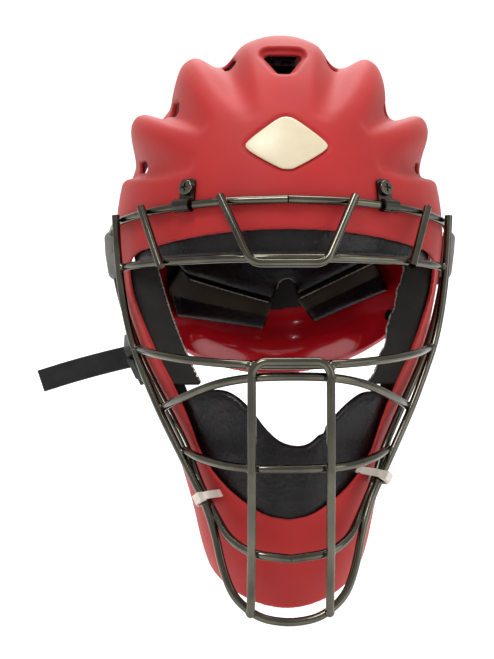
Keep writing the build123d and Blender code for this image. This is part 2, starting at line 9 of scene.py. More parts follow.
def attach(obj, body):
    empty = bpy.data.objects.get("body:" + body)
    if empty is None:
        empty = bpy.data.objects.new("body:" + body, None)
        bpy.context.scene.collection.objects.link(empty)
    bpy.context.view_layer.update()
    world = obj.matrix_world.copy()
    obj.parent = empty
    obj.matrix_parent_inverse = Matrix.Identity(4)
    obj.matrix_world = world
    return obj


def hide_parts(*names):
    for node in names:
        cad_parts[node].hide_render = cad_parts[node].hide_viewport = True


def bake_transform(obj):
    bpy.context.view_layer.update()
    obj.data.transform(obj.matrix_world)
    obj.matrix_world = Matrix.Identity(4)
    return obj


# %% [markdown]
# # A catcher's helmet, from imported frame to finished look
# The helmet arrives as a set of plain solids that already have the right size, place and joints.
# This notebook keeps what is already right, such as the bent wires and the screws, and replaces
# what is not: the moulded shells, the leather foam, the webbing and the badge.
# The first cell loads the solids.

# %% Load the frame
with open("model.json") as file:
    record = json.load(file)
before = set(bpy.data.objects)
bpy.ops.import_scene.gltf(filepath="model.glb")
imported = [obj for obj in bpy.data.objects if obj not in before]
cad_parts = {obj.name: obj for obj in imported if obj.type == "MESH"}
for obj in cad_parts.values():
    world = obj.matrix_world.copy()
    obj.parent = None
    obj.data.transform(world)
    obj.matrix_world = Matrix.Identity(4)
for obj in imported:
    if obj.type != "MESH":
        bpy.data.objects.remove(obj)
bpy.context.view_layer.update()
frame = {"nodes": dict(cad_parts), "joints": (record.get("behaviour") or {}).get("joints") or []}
nodes = frame["nodes"]
scene = bpy.context.scene
MM = 0.001
SIDES = (("left", 1), ("right", -1))    # the wearer's left is on +X

# %% [markdown]
# ## Casting soft shapes
# Injection-moulded plastic and covered foam have no hard corners: every face runs into the next
# over a small round. Such shapes could be modelled with bevels, or with a subdivision cage. Here
# they are described as fields instead: a function that says how far a place is from the skin, with
# a minus sign inside the material. Two fields are joined by taking the smaller, and cut by taking
# the larger, and a soft version of the larger gives the mould's rounds for nothing.
# A field becomes a mesh by surface nets: one vertex in each small cell that the skin passes
# through, and one quad round each grid edge that the skin crosses. The vertices are then evened
# out and slid back onto the skin, so that the grid doesn't show.

# %% A soft cut and a smooth step
def meet(a, b, soft):
    """The larger of two fields, which keeps what both hold, with a round where they meet."""
    h = np.maximum(soft - np.abs(a - b), 0) / soft
    return np.maximum(a, b) + h * h * soft / 4


def ramp(x, start, end):
    """0 before start, 1 after end, and a smooth rise between them."""
    t = np.clip((x - start) / (end - start), 0, 1)
    return t * t * (3 - 2 * t)


# %% Surface nets: from a field to a mesh
CORNERS = [(i, j, k) for i in (0, 1) for j in (0, 1) for k in (0, 1)]
EDGES = [(a, b) for a in range(8) for b in range(a + 1, 8)
         if sum(p != q for p, q in zip(CORNERS[a], CORNERS[b])) == 1]


def net(field, low, high, step):
    """Vertices and quads of the skin where field is 0, in the box from low to high, in mm."""
    axes = [np.arange(a, b + step, step) for a, b in zip(low, high)]
    grids = np.meshgrid(*axes, indexing="ij", sparse=True)
    values = np.broadcast_to(field(*grids), [len(a) for a in axes])
    inside = values < 0
    count = sum(inside[tuple(slice(s, s - 1 or None) for s in c)].astype(np.int8)
                for c in CORNERS)
    crossed = (count > 0) & (count < 8)
    number = np.full(crossed.shape, -1, np.int64)
    cells = np.argwhere(crossed)
    number[crossed] = np.arange(len(cells))
    at = np.stack([values[tuple((cells + c).T)] for c in CORNERS], 1)
    total, found = np.zeros((len(cells), 3)), np.zeros(len(cells))
    for a, b in EDGES:
        cut = (at[:, a] < 0) != (at[:, b] < 0)
        t = np.where(cut, at[:, a] / np.where(cut, at[:, a] - at[:, b], 1), 0)[:, None]
        place = np.array(CORNERS[a]) + t * (np.array(CORNERS[b]) - CORNERS[a])
        total += np.where(cut[:, None], place, 0)
        found += cut
    points = np.array(low) + (cells + total / found[:, None]) * step
    quads = []
    for axis in range(3):
        a = np.moveaxis(inside, axis, 0)
        n = np.moveaxis(number, axis, 0)
        change = a[1:, 1:-1, 1:-1] != a[:-1, 1:-1, 1:-1]
        i, j, k = np.nonzero(change)
        ring = np.stack([n[i, j, k], n[i, j + 1, k], n[i, j + 1, k + 1], n[i, j, k + 1]], 1)
        back = a[1:, 1:-1, 1:-1][i, j, k]
        if axis == 1:
            back = ~back
        ring[back] = ring[back][:, ::-1]
        quads.append(ring)
    return points, np.concatenate(quads)


def slide(field, p, times):
    """Points moved along the field's slope until they lie on its skin."""
    e = 0.4     # how far apart the field is read to find its slope, in mm
    for _ in range(times):
        x, y, z = p.T
        here = field(x, y, z)
        slope = np.stack([field(x + e, y, z) - here, field(x, y + e, z) - here,
                          field(x, y, z + e) - here], 1) / e
        size = np.maximum((slope**2).sum(1), 0.2)
        p = p - slope * np.clip(here / size, -0.7, 0.7)[:, None]
    return p


def even_out(p, quads):
    """Each point moved halfway to the middle of its neighbours."""
    total, count = np.zeros_like(p), np.zeros(len(p))
    for a, b in ((0, 1), (1, 2), (2, 3), (3, 0)):
        for here, there in ((a, b), (b, a)):
            for c in range(3):
                total[:, c] += np.bincount(quads[:, here], p[quads[:, there], c], len(p))
            count += np.bincount(quads[:, here], minlength=len(p))
    return (p + total / count[:, None]) / 2


def as_mesh(name, points, quads):
    """A smooth-shaded piece from points in mm."""
    mesh = bpy.data.meshes.new(name)
    mesh.from_pydata((points * MM).tolist(), [], quads.tolist())
    mesh.polygons.foreach_set("use_smooth", [True] * len(mesh.polygons))
    piece = bpy.data.objects.new(name, mesh)
    scene.collection.objects.link(piece)
    return piece


def cast(name, field, low, high, step):
    """A piece whose skin is the field's, in a box given in mm."""
    points, quads = net(field, low, high, step)
    points = slide(field, points, 2)
    for _ in range(3):
        points = slide(field, even_out(points, quads), 1)
    points = slide(field, points, 2)
    piece = as_mesh(name, points, quads)
    print(name, "has", len(quads), "quads")
    return piece


# %% [markdown]
# ## The head form
# Everything on a helmet is measured from one smooth form, a little larger than a head: the shell is
# its skin, the back plate nests inside it, and the foam lines it. The form is an egg above the
# temples. Below them it is a stack of ellipses that narrows to the chin, with a smooth curve
# through the widths, centres and fronts.

# %% The head form as a field
HALF_WIDTH, REACH, DOME_Z, DOME_HEIGHT = 108.0, 118.0, 60.0, 130.0
WALL = 3.5
# each row: height, half width, middle in Y, front in Y
JAW = np.array([(60, 108, 0, -118), (20, 102, -3, -117.5), (-20, 91, -15, -117),
                (-60, 73, -33, -117), (-100, 58.5, -53, -118), (-135, 49, -63, -116),
                (-172, 34, -70, -100)], float)
NAPE = np.array([(60, 108, 0, -118), (20, 101.5, 0, -117), (-20, 92, 0, -112),
                 (-60, 78, 0, -100)], float)


def between(rows, z):
    """Half width, centre and front at each height, on a smooth curve through the rows."""
    i = np.clip(np.searchsorted(-rows[:, 0], -z) - 1, 0, len(rows) - 2)
    p0, p1 = rows[np.maximum(i - 1, 0)], rows[i]
    p2, p3 = rows[i + 1], rows[np.minimum(i + 2, len(rows) - 1)]
    t = ((p1[..., 0] - z) / (p1[..., 0] - p2[..., 0]))[..., None]
    t = np.clip(t, 0, 1.5)
    bend = (p2 - p0) * t + (2 * p0 - 5 * p1 + 4 * p2 - p3) * t**2
    values = p1 + (bend + (3 * p1 - p0 - 3 * p2 + p3) * t**3) / 2
    return np.maximum(values[..., 1], 5), values[..., 2], values[..., 3]


def head(x, y, z, rows=JAW):
    """How far a place is outside the head form, in mm."""
    a, middle, front = between(rows, z)
    b = np.maximum(middle - front, 5)
    rise = np.maximum(z - DOME_Z, 0)
    near = np.sqrt((x / a) ** 2 + ((y - middle) / b) ** 2 + (rise / DOME_HEIGHT) ** 2)
    steep = np.sqrt((x / a**2) ** 2 + ((y - middle) / b**2) ** 2 + (rise / DOME_HEIGHT**2) ** 2)
    return near * (near - 1) / np.maximum(steep, 1e-6)


# %% [markdown]
# ## The shell's relief
# The dome isn't plain. Ridges fan out from the forehead and grow towards the crown, with hollows
# between them that end in air vents, and they stiffen a thin wall the way corrugations do. Each
# ridge or hollow is a line of places on the dome with a height and a width at each one, and the
# relief is the sum of soft bells round those lines. The two sides mirror each other, so each line
# is drawn once, on the +X side. The wall is then the form moved by the relief, with the same
# thickness everywhere, as moulding needs.

# %% Ridges and hollows
FEATURES = {
    # each row: x, y, z on the dome, height (minus for a hollow), width
    "hollow_inner": [(22, -97, 128, -1.5, 8), (28, -84, 144, -5, 11), (33, -55, 163, -9, 13),
                     (36, -25, 174, -9.5, 14), (37, 2, 177, -7, 13), (37, 24, 173, 0, 12)],
    "ridge_inner": [(38, -99, 117, 0, 12), (46, -82, 136, 2, 13), (54, -56, 155, 5, 14),
                    (58, -25, 167, 7, 14), (60, 2, 169, 6, 14), (60, 28, 163, 0, 14)],
    "hollow_middle": [(51, -90, 123, -2.5, 8), (62, -74, 133, -6, 11), (73, -45, 143, -9.5, 12),
                      (78, -18, 149, -10, 13), (79, 4, 149, -7, 12), (77, 24, 147, 0, 12)],
    "ridge_outer": [(60, -92, 108, 0, 12), (76, -72, 117, 4, 13), (88, -46, 125, 7, 14),
                    (92, -20, 130, 8, 14), (91, 4, 131, 6, 14), (87, 26, 130, 0, 13)],
    "hollow_outer": [(59, -92, 98, -2.5, 8), (75, -77, 101, -6, 11), (90, -50, 105, -8.5, 12),
                     (97, -22, 108, -9, 12), (98, 4, 107, -6, 11), (97, 22, 106, 0, 11)],
    "plateau": [(0, -96, 136, 0, 18), (0, -70, 164, 2, 24), (0, -38, 182, 3.5, 27),
                (0, -5, 189, 2.5, 27), (0, 24, 187, 0, 25)],
}


def curve(points, per_run=6):
    """More points on a smooth line through a few."""
    p = np.array(points, float)
    p = np.vstack([2 * p[0] - p[1], p, 2 * p[-1] - p[-2]])
    out = []
    for p0, p1, p2, p3 in zip(p, p[1:], p[2:], p[3:]):
        for t in np.arange(per_run) / per_run:
            out.append(p1 + ((p2 - p0) * t + (2 * p0 - 5 * p1 + 4 * p2 - p3) * t**2
                             + (3 * p1 - p0 - 3 * p2 + p3) * t**3) / 2)
    return np.array(out + [p[-2]])


def along(line, x, y, z):
    """Distance to a line of places, and its height and width at the nearest one."""
    best = np.full(np.broadcast(x, y, z).shape, 1e9)
    height, width = np.zeros_like(best), np.ones_like(best)
    for px, py, pz, h, w in curve(line, 14):
        gap = (x - px) ** 2 + (y - py) ** 2 + (z - pz) ** 2
        nearer = gap < best
        best = np.where(nearer, gap, best)
        height, width = np.where(nearer, h, height), np.where(nearer, w, width)
    return np.sqrt(best), height, width


# %% [markdown]
# The relief is worked out once, on a map of the dome, and looked up from there. The map is the kind
# that shows the earth from above a pole: a place's distance from the middle is its angle from
# straight up, seen from inside the head. Looking up a smooth map is quick, and it keeps small
# steps between the lines out of the surface.

# %% A map of the relief
POLE = 20.0                     # the height that the dome is seen from
CELL, MAP_END = 0.0115, 1.9     # the map's step and how far down it reaches, in radians
map_x, map_y = np.meshgrid(np.arange(0, MAP_END, CELL), np.arange(-MAP_END, MAP_END, CELL),
                           indexing="ij")
angle = np.maximum(np.hypot(map_x, map_y), 1e-6)
ray = (np.sin(angle) * map_x / angle, np.sin(angle) * map_y / angle, np.cos(angle))
drop = (POLE - DOME_Z) / DOME_HEIGHT**2
square = (ray[0] / HALF_WIDTH) ** 2 + (ray[1] / REACH) ** 2 + (ray[2] / DOME_HEIGHT) ** 2
half_b, rest = ray[2] * drop, ((POLE - DOME_Z) / DOME_HEIGHT) ** 2 - 1
far = (-half_b + np.sqrt(half_b**2 - square * rest)) / square
spot = (ray[0] * far, ray[1] * far, ray[2] * far + POLE)
relief_map = np.zeros_like(far)
for line in FEATURES.values():
    gap, height, width = along(line, *spot)
    relief_map += height * (1 - ramp(gap, 0.16 * width, 1.16 * width))
for _ in range(4):
    padded = np.pad(relief_map, 1, mode="edge")
    padded[0] = padded[2]
    relief_map = (padded[1:-1, 1:-1] * 2 + padded[:-2, 1:-1] + padded[2:, 1:-1]
                  + padded[1:-1, :-2] + padded[1:-1, 2:]) / 6
slope_map = np.hypot(*np.gradient(relief_map)) / (CELL * far)
print("relief from", round(relief_map.min(), 1), "to", round(relief_map.max(), 1), "mm")


def relief(x, y, z):
    """How far the shell stands out of the head form at a place, in mm, and how steeply."""
    across = np.sqrt(x**2 + y**2) + 1e-6
    tilt = np.arctan2(across, z - POLE)
    u = np.clip(np.abs(x) / across * tilt / CELL, 0, relief_map.shape[0] - 1.001)
    v = np.clip((y / across * tilt + MAP_END) / CELL, 0, relief_map.shape[1] - 1.001)
    i, j = u.astype(int), v.astype(int)
    p, q = u - i, v - j
    return [(m[i, j] * (1 - q) + m[i, j + 1] * q) * (1 - p)
            + (m[i + 1, j] * (1 - q) + m[i + 1, j + 1] * q) * p for m in (relief_map, slope_map)]


# %% [markdown]
# ## The shell's openings
# The face opening, the rear rim and the chin's lower edge are outlines drawn from the front or from
# the side and cut straight through, like a trimming die's. The vents are slots that follow the
# hollows, and the one in the middle is a rounded triangle in a recess, under the lip of the
# central ridge.

# %% Outlines as fields
def outline(points, u, v):
    """How far a place is outside a closed outline, in its plane."""
    best = np.full(np.broadcast(u, v).shape, 1e9)
    inside = np.zeros(best.shape, bool)
    for (a, b), (c, d) in zip(points, np.roll(points, -1, 0)):
        length = (c - a) ** 2 + (d - b) ** 2 + 1e-9
        t = np.clip(((u - a) * (c - a) + (v - b) * (d - b)) / length, 0, 1)
        best = np.minimum(best, (u - a - t * (c - a)) ** 2 + (v - b - t * (d - b)) ** 2)
        if b != d:
            inside ^= ((b > v) != (d > v)) & (u < a + (v - b) * (c - a) / (d - b))
    return np.where(inside, -1, 1) * np.sqrt(best)


half_brow = [(s, 57 - 10 * (s / 91) ** 2) for s in (0, 20, 40, 60, 78, 88)]
half_cheek = [(93.5, 43.5), (95.2, 37), (93.2, 24), (88.5, 11), (78, -12), (67, -32), (57, -54),
              (50, -72), (39, -87), (26, -98), (13, -105.5), (0, -108)]
half = curve(half_brow + half_cheek, 3)
FACE = np.vstack([half, half[-2:0:-1] * (-1, 1)])
# the rear rim seen from the side, as height and Y
RIM = np.array([(-176, -66), (-130, -56), (-88, -38), (-45, -12), (-12, 10), (20, 24), (60, 30),
                (120, 36), (196, 40)], float)
print("face opening", len(FACE), "points round")

# %% Slots and vents as fields
SLOT_REACH = 16     # how far a slot's cutter reaches to each side of the skin


def slot(x, y, z, start, end, radius):
    """How far a place is outside a slot cut square to the dome, from start to end, both on +X."""
    s, e = Vector(start), Vector(end)
    middle = (s + e) / 2
    out = Vector((middle.x / HALF_WIDTH**2, middle.y / REACH**2,
                  (middle.z - DOME_Z) / DOME_HEIGHT**2 if middle.z > DOME_Z else 0)).normalized()
    run = (e - s) - out * (e - s).dot(out)
    across = out.cross(run.normalized())
    q = (np.abs(x) - middle.x, y - middle.y, z - middle.z)
    u = sum(a * b for a, b in zip(q, run.normalized()))
    v = sum(a * b for a, b in zip(q, across))
    w = sum(a * b for a, b in zip(q, out))
    flat = np.sqrt(np.maximum(np.abs(u) - run.length / 2, 0) ** 2 + v**2) - radius
    return np.maximum(flat, np.abs(w) - SLOT_REACH)


def vent_triangle(x, z):
    """The middle vent seen from the front: wide at the top, with rounded corners."""
    corners = np.array([(-9.3, 167), (9.3, 167), (2.4, 156), (-2.4, 156)], float)
    return outline(corners, x, z) - 2.2


# %% The badge's outline
half_badge = curve([(0, 124.5), (5, 123), (14, 116.5), (22, 110), (24.6, 106), (22, 102),
                    (13, 96), (4, 91.2), (0, 90.6)], 4)
BADGE = np.vstack([half_badge, half_badge[-2:0:-1] * (-1, 1)])


def badge_shape(x, z):
    """How far a place is outside the badge, seen from the front."""
    return outline(BADGE, x, z)


print("badge", round(2 * BADGE[:, 0].max()), "mm wide")

# %% [markdown]
# The shell itself is the head form moved by the relief, hollowed to the wall's thickness, with the
# openings cut from it. Dividing the field by the relief's steepness keeps the wall as thick on the
# sides of a ridge as on its top.

# %% The shell
# start, end and radius of the slots on +X: three in the hollows, then three ear slots
SLOTS = [((33, -42, 169), (35, -20, 175), 4.6), ((72, -45, 144), (78, -22, 149), 4.4),
         ((92, -44, 105), (97, -24, 107), 3.4)]
SLOTS += [((102, 3 * row - 13, 27 - 9 * row), (102, 3 * row + 1, 27 - 9 * row), 2.3)
          for row in range(3)]


def shell_wall(x, y, z):
    """The shell before anything is cut out of it."""
    lift, steep = relief(x, y, z)
    recess = 4.0 * (1 - ramp(vent_triangle(x, z - 1.5), 0.5, 4.5)) * (y < -40)
    badge_seat = 1.2 * (1 - ramp(badge_shape(x, z), -0.5, 1.5)) * (y < -60)
    skin = (head(x, y, z) - lift + recess + badge_seat) / np.sqrt(1 + steep**2)
    return meet(skin, -(skin + WALL), 1.2)


def shell(x, y, z):
    """The wall with the face opening, the rear rim, the lower edge and the vents cut from it."""
    wall = shell_wall(x, y, z)
    face = np.maximum(outline(FACE, x, z), y + 20)
    behind = (np.interp(z, RIM[:, 0], RIM[:, 1]) - y) * 0.9
    below = z + 162 - 17 * np.minimum((x / 45) ** 2, 1.4)
    cuts = np.minimum(np.minimum(face, behind), below)
    vents = np.maximum(vent_triangle(x, z), y + 40)
    for start, end, radius in SLOTS:
        vents = np.minimum(vents, slot(x, y, z, start, end, radius))
    return meet(meet(wall, -cuts, 2.4), -vents, 1.6)


front_shell = cast("shell_moulding", shell, (-114, -124, -166), (114, 44, 196),
                   1.5)
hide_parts("front_shell")
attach(front_shell, "helmet")

# %% [markdown]
# ## Finishes
# A finish is a small network: a colour that drifts a little from place to place, a roughness that
# drifts with it, and a fine height map for the grain. One function wires up that much, because
# every piece here needs it, and what is a finish's own, such as a sheen or a coat, is a plain
# number on the shader. Noise in object space is used throughout, so nothing depends on unwrapping
# and the grain has its real size in millimetres.

# %% A finish with drift and grain
def finish(name, light, dark, rough, drift=40.0, grain=900.0, bump=0.15, depth=0.0002,
           rough_drift=0.08, marks=None, mark_share=0.6, **constants):
    """A material that drifts between two colours, with grain, and marks over mark_share.

    constants are further numbers for the shader, such as Sheen_Weight=0.1.
    """
    material = bpy.data.materials.new(name)
    material.use_nodes = True
    tree = material.node_tree
    shader = tree.nodes["Principled BSDF"]
    place = tree.nodes.new("ShaderNodeTexCoord")

    def noise(scale, detail=3.0, roughness=0.55):
        node = tree.nodes.new("ShaderNodeTexNoise")
        node.inputs["Scale"].default_value = scale
        node.inputs["Detail"].default_value = detail
        node.inputs["Roughness"].default_value = roughness
        tree.links.new(place.outputs["Object"], node.inputs["Vector"])
        return node

    patches = noise(drift)
    blend = tree.nodes.new("ShaderNodeMix")
    blend.data_type = "RGBA"
    blend.inputs["A"].default_value = (*dark, 1)
    blend.inputs["B"].default_value = (*light, 1)
    spread = tree.nodes.new("ShaderNodeMapRange")
    spread.inputs["From Min"].default_value = 0.3
    spread.inputs["From Max"].default_value = 0.7
    tree.links.new(patches.outputs["Fac"], spread.inputs["Value"])
    tree.links.new(spread.outputs["Result"], blend.inputs["Factor"])
    colour = blend.outputs["Result"]
    if marks:
        specks = noise(grain * 0.35, 2.0, 0.7)
        cut = tree.nodes.new("ShaderNodeMapRange")
        cut.inputs["From Min"].default_value = mark_share
        cut.inputs["From Max"].default_value = mark_share + 0.06
        tree.links.new(specks.outputs["Fac"], cut.inputs["Value"])
        over = tree.nodes.new("ShaderNodeMix")
        over.data_type = "RGBA"
        over.inputs["B"].default_value = (*marks, 1)
        tree.links.new(cut.outputs["Result"], over.inputs["Factor"])
        tree.links.new(colour, over.inputs["A"])
        colour = over.outputs["Result"]
    tree.links.new(colour, shader.inputs["Base Color"])
    shine = tree.nodes.new("ShaderNodeMapRange")
    shine.inputs["To Min"].default_value = rough - rough_drift
    shine.inputs["To Max"].default_value = rough + rough_drift
    tree.links.new(noise(drift * 2.3).outputs["Fac"], shine.inputs["Value"])
    tree.links.new(shine.outputs["Result"], shader.inputs["Roughness"])
    height = noise(grain, 4.0, 0.6)
    relief_node = tree.nodes.new("ShaderNodeBump")
    relief_node.inputs["Strength"].default_value = bump
    relief_node.inputs["Distance"].default_value = depth
    tree.links.new(height.outputs["Fac"], relief_node.inputs["Height"])
    tree.links.new(relief_node.outputs["Normal"], shader.inputs["Normal"])
    for socket, value in constants.items():
        shader.inputs[socket.replace("_", " ")].default_value = value
    return material


def wear(piece, material):
    """A piece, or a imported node, put in one finish."""
    piece.data.materials.clear()
    piece.data.materials.append(material)


def dress(node, material, bevel=0.0):
    """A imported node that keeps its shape: a new finish, and a small round on its edges."""
    piece = nodes[node]
    if not piece.material_slots:
        piece.data.materials.append(material)
    for seat in piece.material_slots:
        seat.link = "OBJECT"
        seat.material = material
    if bevel:
        round_off = piece.modifiers.new("edge_round", "BEVEL")
        round_off.width, round_off.segments = bevel * MM, 2
        round_off.limit_method, round_off.angle_limit = "ANGLE", radians(40)
        round_off.harden_normals = True


# %% [markdown]
# ### The shell's red
# The shell is dipped in a soft-touch paint: nearly flat, with a faint bloom at glancing angles and
# a few dark scuffs. Sheen gives the bloom, because it brightens only where the surface turns away.

# %% Red, cream, grey, white and black plastics
red = finish("shell_red", (0.44, 0.019, 0.018), (0.35, 0.014, 0.014), 0.58,
             drift=14, grain=2200, bump=0.22, depth=0.00012,
             marks=(0.20, 0.03, 0.028), mark_share=0.74,
             Sheen_Weight=0.12, Sheen_Roughness=0.45, Sheen_Tint=(0.75, 0.55, 0.45, 1),
             Specular_IOR_Level=0.3)
wear(front_shell, red)
gloss_red = finish("plate_red", (0.48, 0.006, 0.012), (0.38, 0.004, 0.010), 0.17,
                   drift=12, grain=500, bump=0.04, depth=0.0003, rough_drift=0.04,
                   Coat_Weight=0.6, Coat_Roughness=0.08)
cream = finish("badge_cream", (0.70, 0.61, 0.43), (0.63, 0.54, 0.37), 0.32,
               drift=60, grain=1500, bump=0.05, rough_drift=0.05)
grey_plastic = finish("clip_grey", (0.17, 0.17, 0.165), (0.12, 0.12, 0.12), 0.42,
                      drift=80, grain=1600, bump=0.12)
nylon = finish("tie_nylon", (0.78, 0.70, 0.62), (0.66, 0.58, 0.52), 0.38,
               drift=150, grain=1200, bump=0.08,
               Subsurface_Weight=0.15, Subsurface_Scale=0.002)
black_plastic = finish("buckle_black", (0.018, 0.018, 0.019), (0.010, 0.010, 0.011), 0.35,
                       drift=90, grain=1500, bump=0.12)
print(len(bpy.data.materials), "materials after the plastics")

# %% [markdown]
# ### Dark chrome
# The wires are plated in a dark, slightly olive chrome. It reflects like a mirror that someone has
# handled: the roughness drifts, and fine scratches run through the highlights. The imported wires
# are already exact, so they stay and only get the finish.

# %% Metals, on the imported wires, clips and screws
chrome = finish("cage_chrome", (0.135, 0.128, 0.100), (0.080, 0.075, 0.058), 0.15,
                drift=45, grain=500, bump=0.03, rough_drift=0.06, Metallic=1.0)
clip_steel = finish("clip_steel", (0.075, 0.070, 0.062), (0.045, 0.041, 0.036), 0.26,
                    drift=70, bump=0.10, Metallic=1.0)
screw_steel = finish("screw_steel", (0.16, 0.145, 0.12), (0.085, 0.075, 0.062), 0.2,
                     drift=120, bump=0.10, Metallic=1.0)

for name in nodes:
    if name.startswith("cage_"):
        dress(name, chrome)
    elif name.endswith(("screws", "nuts", "rivets")):
        dress(name, screw_steel, 0.25)
for side, _ in SIDES:
    dress("brow_clip_" + side, clip_steel, 0.3)
    dress("side_clip_" + side, grey_plastic, 0.5)
    dress("chin_tie_" + side, nylon, 0.3)
    dress("buckle_" + side, black_plastic, 0.6)
print("packed nodes that keep their shape are dressed")

# %% [markdown]
# ### Welds
# Where two wires cross they are resistance-welded, which leaves a small swollen collar. Each weld
# is a soft bead between the two wire centres, cast from a field like the plastics.

# %% Weld beads
# x, y, z and radius of the beads on +X, where one wire lies against another
WELDS = [(37.3, -117.3, 72.5, 2.9), (22.3, -129.4, 40.3, 2.8), (84.8, -83.8, 69.8, 2.8),
         (73.4, -103.5, 39.5, 2.9), (21.7, -148.5, -20.0, 2.9), (21.7, -148.5, -26.0, 2.8),
         (21.6, -147.7, -76.0, 2.9), (21.5, -140.6, -123.2, 2.9), (22.0, -129.4, -157.8, 2.9),
         (99.2, -62.5, 38.4, 2.7), (89.9, -73.4, -11.0, 2.7), (74.2, -85.4, -46.0, 2.7),
         (61.0, -96.2, -71.3, 2.7)]


def bead_pieces():
    """All the welds in one mesh: small rough balls, evened out into soft collars."""
    points, quads, count = [], [], 0
    for side in (1, -1):
        for bx, by, bz, radius in WELDS:
            def ball(x, y, z, bx=bx * side, by=by, bz=bz, radius=radius):
                lump = 0.25 * np.sin(1.9 * x + bz) * np.sin(2.3 * z + bx) * np.sin(2.1 * y)
                return np.sqrt((x - bx) ** 2 + (y - by) ** 2 + (z - bz) ** 2) - radius - lump
            reach = radius + 1.5
            centre = np.array([bx * side, by, bz])
            p, q = net(ball, centre - reach, centre + reach, 0.7)
            p = slide(ball, even_out(slide(ball, p, 2), q), 2)
            points.append(p)
            quads.append(q + count)
            count += len(p)
    return as_mesh("weld_beads", np.vstack(points), np.vstack(quads))


weld_beads = bead_pieces()
wear(weld_beads, chrome)
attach(weld_beads, "helmet")
print(2 * len(WELDS), "welds")

# %% [markdown]
# ## The back plate
# The plate that closes the helmet behind the head is a thinner moulding in a glossy red. Its lower
# edge rolls in towards the neck, which stiffens it and gives the long soft highlight low inside
# the helmet. It is one more wall cut out of the head form, with that roll added as a shift. The
# roll fades out before the sides, where the straps are riveted on.

# %% Back plate
PLATE_GAP, PLATE_WALL = 6.5, 3.2    # how far under the head form it lies, and its thickness
ROLL = 5.5                          # how far its edge rolls in
PLATE_SIDE = np.array([(29, 200), (27, 120), (21, 60), (17, 24), (20, 8), (60, -12), (106, -37),
                       (170, -64), (170, 200)], float)


def plate(x, y, z):
    edge = -outline(PLATE_SIDE, y, z)
    roll = ROLL * ramp(edge, 0, 15) * (1 - ramp(edge, 18, 42)) * (1 - ramp(np.abs(x), 50, 70))
    skin = head(x, y, z, NAPE) + PLATE_GAP + roll
    wall = meet(skin, -(skin + PLATE_WALL), 1.5)
    return meet(wall, -edge, 2.2)


back_plate = cast("back_plate_moulding", plate, (-106, 12, -44), (106, 120, 190),
                  1.3)
wear(back_plate, gloss_red)
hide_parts("back_plate")
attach(back_plate, "rear")

# %% [markdown]
# ## The badge
# A cream badge sits in a shallow seat in the forehead. It is a blank, slightly domed plate with
# soft corners, so it is the same field as its seat, lifted in the middle.

# %% Badge
def badge(x, y, z):
    flat = badge_shape(x, z)
    swell = 0.9 * np.clip(-flat / 11, 0, 1) ** 0.5
    skin = head(x, y, z) - 0.55 - swell
    return meet(meet(skin, -(skin + 1.5 + swell), 0.6), np.maximum(flat + 0.7, y + 60), 1.4)


badge_plate = cast("badge_moulding", badge, (-28, -118, 86), (28, -84, 128),
                   0.6)
wear(badge_plate, cream)
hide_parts("badge")
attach(badge_plate, "helmet")

# %% [markdown]
# ## Foam and its covers
# The pads are foam in a thin black cover. Some covers are a glossy, creased synthetic leather and
# some are a dull brushed fabric that picks up lint, and where a pad was cut to shape its raw edge
# shows as a thin pale line. Two black finishes, a brown one and a pale one cover all of that.

# %% Leather, felt and raw edge
leather = finish("pad_leather", (0.0075, 0.0048, 0.0062), (0.0030, 0.0024, 0.0030), 0.33,
                 drift=45, grain=240, bump=0.55, depth=0.0012, rough_drift=0.14,
                 marks=(0.020, 0.014, 0.020), mark_share=0.66, Specular_IOR_Level=0.32)
felt = finish("pad_felt", (0.034, 0.031, 0.026), (0.021, 0.020, 0.018), 0.92,
              drift=26, grain=1500, bump=0.5, depth=0.0004,
              marks=(0.20, 0.19, 0.17), mark_share=0.775,
              Specular_IOR_Level=0.15, Sheen_Weight=0.08, Sheen_Roughness=0.6)
brown_felt = finish("pad_brown_felt", (0.044, 0.034, 0.022), (0.026, 0.020, 0.014), 0.9,
                    drift=32, grain=1300, bump=0.5, depth=0.0004,
                    Specular_IOR_Level=0.15, Sheen_Weight=0.12, Sheen_Roughness=0.5)
raw_edge = finish("foam_edge", (0.44, 0.41, 0.37), (0.16, 0.15, 0.13), 0.95,
                  drift=420, grain=2500, bump=0.6, depth=0.0004)

# %% [markdown]
# Inside, the plate is covered with black loop fabric where the pads are stuck on, and the same
# black is laid over the plate in the gaps between the pads as painted shade. The lining is too
# thin to be a piece of its own, so the faces it covers get the felt finish.

# %% The plate's lining, and painted shade between the pads
# The outline reaches past the pads into the gaps between them, where the black felt is painted
# shade.
LINING_AND_SHADE = np.array([(-78, 30), (0, 15), (18, 17), (74, 36), (76, 60), (62, 116), (40, 134),
                   (-40, 134), (-62, 116), (-80, 60)], float)
back_plate.data.materials.append(felt)
faces = back_plate.data.polygons
x, y, z = np.array([face.center for face in faces]).T / MM
inner = head(x, y, z, NAPE) < -PLATE_GAP - PLATE_WALL / 2
lined_and_shaded = inner & (outline(LINING_AND_SHADE, x, z) < 0) & (y > 40)
faces.foreach_set("material_index", lined_and_shaded.astype(np.int32))
print("lining on", lined_and_shaded.sum(), "faces of the plate")

# %% [markdown]
# ### How a pad is shaped
# Each pad fills a layer under the head form, between its outer and inner depth, and is trimmed by
# an outline. Foam in a cover is thickest in the middle and pulls in at its edges, so the depth of
# the inner skin falls towards the outline. Creases are long shallow ridges whose lines wander:
# a wave whose phase is itself pushed about by slower waves.

# %% Pad fields
INSET = 4.2     # pads stuck to the shell start this far under its skin


